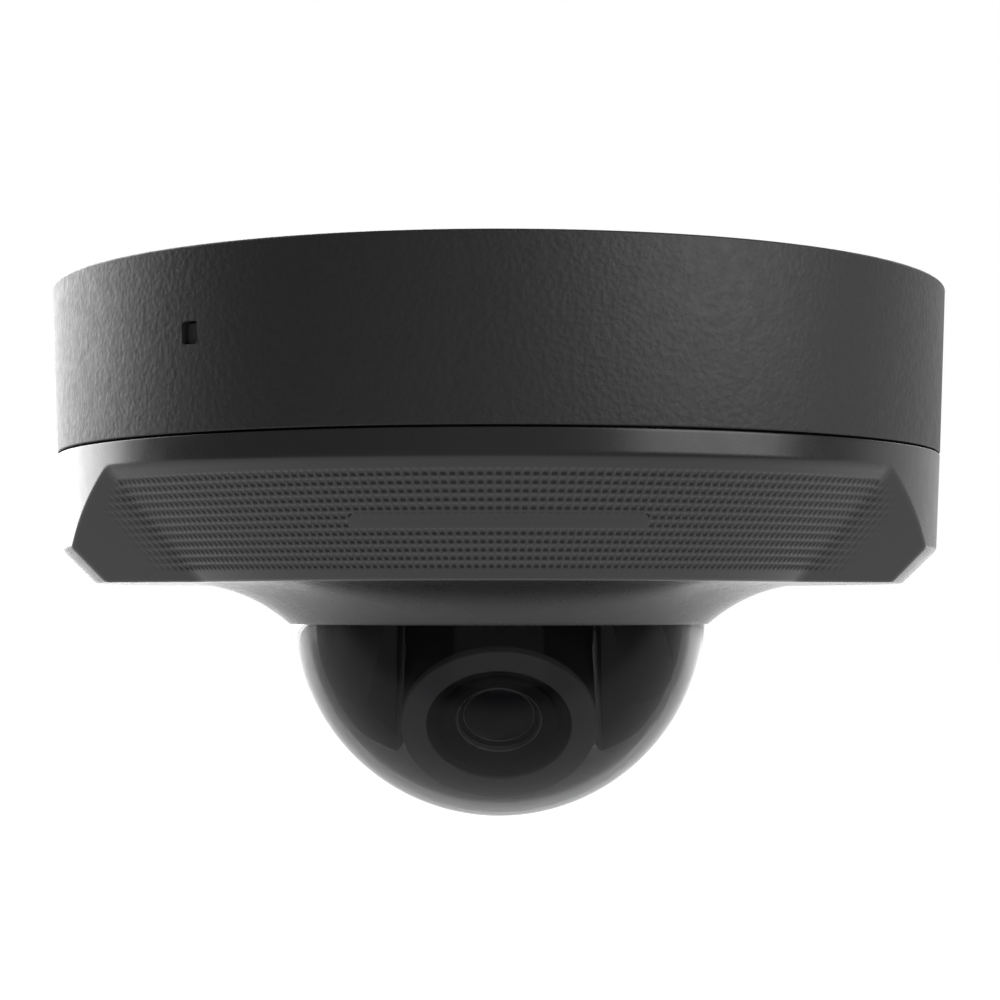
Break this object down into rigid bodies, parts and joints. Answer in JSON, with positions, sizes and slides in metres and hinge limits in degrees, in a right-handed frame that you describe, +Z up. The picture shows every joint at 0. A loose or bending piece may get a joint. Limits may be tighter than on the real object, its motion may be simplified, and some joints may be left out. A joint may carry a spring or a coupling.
{
  "type": "dome security camera",
  "caption": "Ceiling dome camera: round housing, slanted textured front, smoked dome, and an eye that pans, tilts and rolls.",
  "frame": {"origin": "centre of the ceiling screw circle on the mounting plate's upper face, in the ceiling plane", "axes": "+Z up into the ceiling, -Y to the front where the lens and the textured panel face, +X to the right seen from the front"},
  "size_m": [0.125, 0.125, 0.0732],
  "materials": {
    "ring_plastic": "fine leather grain, matt, near black",
    "cover_plastic": "smooth satin, near black, textured front panel",
    "smoked_dome": "smoked clear, polished",
    "gimbal_plastic": "dark grey, fine matt",
    "eye_plastic": "dark, fine matt",
    "window_plastic": "dark grey, satin",
    "black_metal": "black anodised, turned",
    "bright_ring": "turned, bright",
    "lens_glass": "coated optical glass",
    "rubber": "matt black",
    "plate_metal": "grey powder coat",
    "screw_steel": "bright zinc",
    "spring_steel": "bright",
    "circuit_board": "green solder mask",
    "chip_plastic": "black epoxy",
    "thermal_pad": "soft, pale blue",
    "socket_metal": "nickel-plated shell",
    "contact_gold": "gold plated",
    "white_plastic": "ivory",
    "coil_copper": "enamelled copper",
    "capacitor_can": "aluminium can",
    "filter_glass": "coated filter glass"
  },
  "bodies": {
    "root": {"mounting_plate": "plate_metal", "cable_grommet": "rubber", "base_housing": "ring_plastic", "latch_spring": "spring_steel", "body_gasket": "rubber", "cover": "cover_plastic", "cover_screws": "screw_steel", "dome": "smoked_dome", "dome_gasket": "rubber", "dome_retainer": "gimbal_plastic", "retainer_screws": "screw_steel", "main_board": "circuit_board", "board_screws": "screw_steel", "network_socket": "socket_metal", "socket_contacts": "contact_gold", "processor": "chip_plastic", "thermal_pad": "thermal_pad", "memory_chips": "chip_plastic", "power_transformer": "chip_plastic", "capacitors": "capacitor_can", "board_connector": "white_plastic", "reset_switch": "socket_metal", "card_socket": "socket_metal", "pan_base": "gimbal_plastic", "pan_base_screws": "screw_steel"},
    "latch": {"latch_button": "eye_plastic"},
    "reset": {"reset_button": "eye_plastic"},
    "card": {"memory_card": "chip_plastic"},
    "pan": {"pan_ring": "gimbal_plastic", "pan_retainer": "screw_steel", "left_cheek": "gimbal_plastic", "right_cheek": "gimbal_plastic", "cheek_screws": "screw_steel"},
    "tilt": {"tilt_carrier": "eye_plastic", "tilt_screws": "screw_steel"},
    "eye": {"eye_housing": "eye_plastic", "rear_cap": "eye_plastic", "front_window": "window_plastic", "light_baffle": "rubber", "light_board": "circuit_board", "infrared_leds": "white_plastic", "lens_barrel": "black_metal", "lens_ring": "bright_ring", "front_lens": "lens_glass", "inner_lenses": "lens_glass", "lens_holder": "eye_plastic", "sensor_board": "circuit_board", "image_sensor": "chip_plastic", "flex_connector": "white_plastic", "filter_coil": "coil_copper"},
    "filter": {"filter_slide": "eye_plastic", "filter_panes": "filter_glass"}
  },
  "joints": [
    {"name": "latch_push", "type": "slide", "parent": "root", "child": "latch", "axis": [0.6018, 0.7986, 0], "range_m": [0, 0.0025], "stiffness_N_per_m": 600, "springref_m": -0.0015, "deforming": ["latch_spring"]},
    {"name": "reset_press", "type": "slide", "parent": "root", "child": "reset", "axis": [0, 0, 1], "range_m": [0, 0.00025], "stiffness_N_per_m": 4000, "springref_m": -0.0003},
    {"name": "card_pull", "type": "slide", "parent": "root", "child": "card", "axis": [-1, 0, 0], "range_m": [0, 0.009]},
    {"name": "pan", "type": "hinge", "parent": "root", "child": "pan", "pos_m": [0, 0, -0.04403], "axis": [0, 0, 1], "range_deg": [-177, 177]},
    {"name": "tilt", "type": "hinge", "parent": "pan", "child": "tilt", "pos_m": [0, 0, -0.04463], "axis": [1, 0, 0], "range_deg": [-22, 50]},
    {"name": "roll", "type": "hinge", "parent": "tilt", "child": "eye", "pos_m": [0, 0, -0.04463], "axis": [0, -0.766, -0.6428], "range_deg": [-175, 175]},
    {"name": "filter_shift", "type": "slide", "parent": "eye", "child": "filter", "axis": [1, 0, 0], "range_m": [0, 0.0052]}
  ]
}
